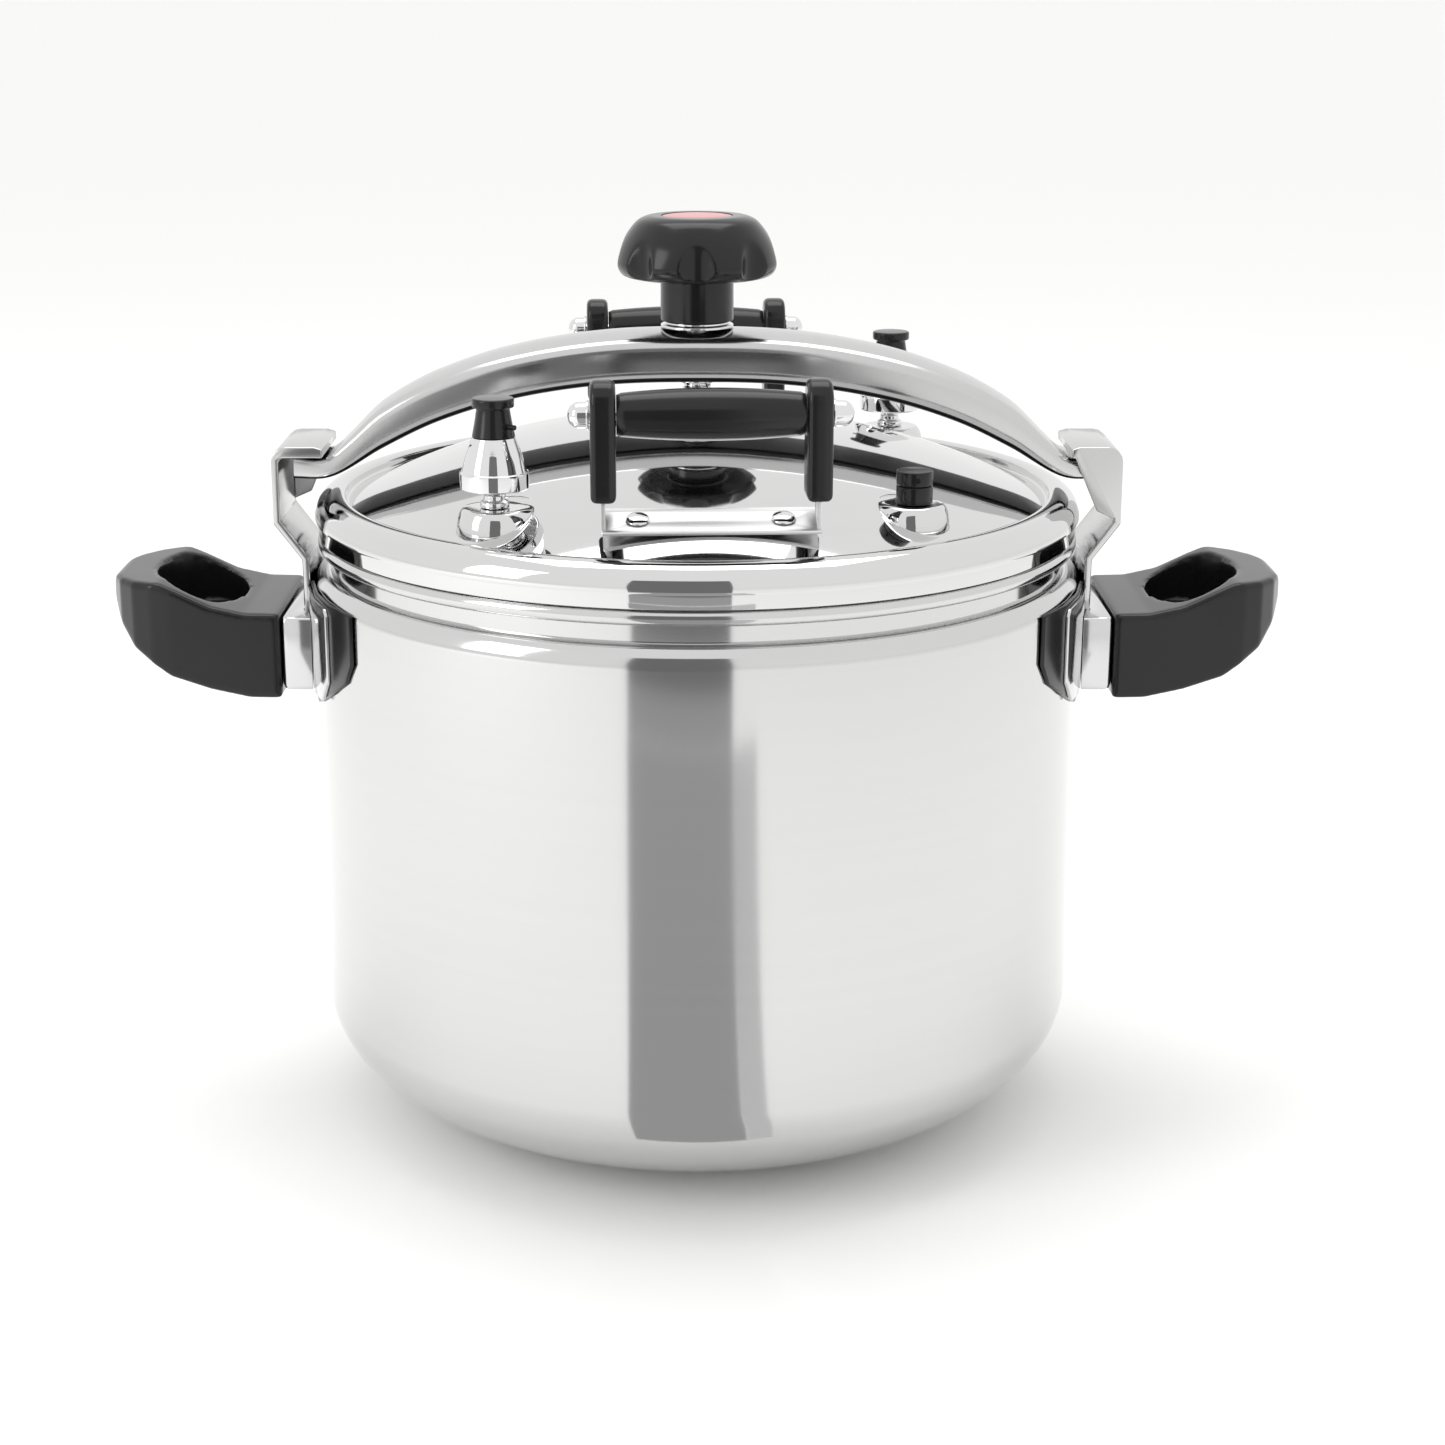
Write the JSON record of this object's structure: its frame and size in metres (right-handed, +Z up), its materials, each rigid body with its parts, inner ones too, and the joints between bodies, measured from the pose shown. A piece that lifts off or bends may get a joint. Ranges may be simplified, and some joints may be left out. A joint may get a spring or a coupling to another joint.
{
  "type": "pressure canner",
  "caption": "Deep steel pressure pot with clamp hooks, domed lid, turning screw-down bow, weighted regulators, safety valve and black grips.",
  "frame": {"origin": "centre of the pot's flat base, where it stands", "axes": "+Z up, +X through the right-hand side handle, -Y is the front"},
  "size_m": [0.581, 0.379, 0.4487],
  "materials": {
    "polished_steel": "mirror polished stainless steel",
    "brushed_steel": "plain stainless sheet and turned steel",
    "chrome": "bright chrome plate",
    "bakelite": "satin black phenolic moulding",
    "rubber": "soft grey silicone",
    "red_enamel": "plain red disc"
  },
  "bodies": {
    "pot_body": {"pot": "polished_steel", "heat_guard_left": "bakelite", "mounting_band_left": "brushed_steel", "handle_ferrule_left": "polished_steel", "clamp_hook_left": "polished_steel", "side_handle_left": "bakelite", "handle_screw_left": "brushed_steel", "heat_guard_right": "bakelite", "mounting_band_right": "brushed_steel", "handle_ferrule_right": "polished_steel", "clamp_hook_right": "polished_steel", "side_handle_right": "bakelite", "handle_screw_right": "brushed_steel"},
    "lid_body": {"lid": "polished_steel", "lid_gasket": "rubber", "centre_seat": "brushed_steel", "lid_handle_bracket_front": "brushed_steel", "lid_handle_bar_front": "bakelite", "lid_handle_rod_front": "brushed_steel", "lid_handle_cheek_front_left": "bakelite", "lid_handle_cap_nut_front_left": "chrome", "bracket_rivet_front_left": "chrome", "lid_handle_cheek_front_right": "bakelite", "lid_handle_cap_nut_front_right": "chrome", "bracket_rivet_front_right": "chrome", "vent_pipe_front": "brushed_steel", "vent_nut_front": "brushed_steel", "lid_handle_bracket_rear": "brushed_steel", "lid_handle_bar_rear": "bakelite", "lid_handle_rod_rear": "brushed_steel", "lid_handle_cheek_rear_left": "bakelite", "lid_handle_cap_nut_rear_left": "chrome", "bracket_rivet_rear_left": "chrome", "lid_handle_cheek_rear_right": "bakelite", "lid_handle_cap_nut_rear_right": "chrome", "bracket_rivet_rear_right": "chrome", "vent_pipe_rear": "brushed_steel", "vent_nut_rear": "brushed_steel", "safety_valve_body": "bakelite", "safety_valve_cap": "bakelite", "safety_valve_nut": "brushed_steel", "safety_valve_spring": "brushed_steel"},
    "bow_body": {"bow": "polished_steel", "bow_bush": "chrome"},
    "foot_body": {"pressure_foot": "chrome"},
    "knob_body": {"spindle": "chrome", "knob": "bakelite", "knob_badge": "red_enamel"},
    "regulator_front_body": {"regulator_weight_front": "chrome", "regulator_grip_front": "bakelite", "regulator_pin_front": "bakelite"},
    "regulator_rear_body": {"regulator_weight_rear": "chrome", "regulator_grip_rear": "bakelite", "regulator_pin_rear": "bakelite"},
    "valve_plunger_body": {"safety_valve_plunger": "brushed_steel"}
  },
  "joints": [
    {"name": "lid_turn", "type": "hinge", "parent": "pot_body", "child": "lid_body", "pos_m": [0, 0, 0.31], "axis": [0, 0, 1], "range_deg": [0, 120]},
    {"name": "bow_turn", "type": "hinge", "parent": "lid_body", "child": "bow_body", "pos_m": [0, 0, 0.38], "axis": [0, 0, 1], "range_deg": [0, 30]},
    {"name": "knob_turn", "type": "hinge", "parent": "foot_body", "child": "knob_body", "pos_m": [0, 0, 0.4], "axis": [0, 0, 1], "range_deg": [0, 720]},
    {"name": "spindle_travel", "type": "slide", "parent": "bow_body", "child": "foot_body", "axis": [0, 0, 1], "range_m": [0, 0.006]},
    {"name": "regulator_front_lift", "type": "slide", "parent": "lid_body", "child": "regulator_front_body", "axis": [0, 0, 1], "range_m": [0, 0.02]},
    {"name": "regulator_rear_lift", "type": "slide", "parent": "lid_body", "child": "regulator_rear_body", "axis": [0, 0, 1], "range_m": [0, 0.02]},
    {"name": "safety_valve_lift", "type": "slide", "parent": "lid_body", "child": "valve_plunger_body", "axis": [0, 0, 1], "range_m": [0, 0.002], "stiffness_N_per_m": 300, "springref_m": -0.003, "deforming": ["safety_valve_spring"]}
  ],
  "couplings": [
    {"joint": "spindle_travel", "follows": "knob_turn", "m_per_rad": 0.00047746}
  ]
}
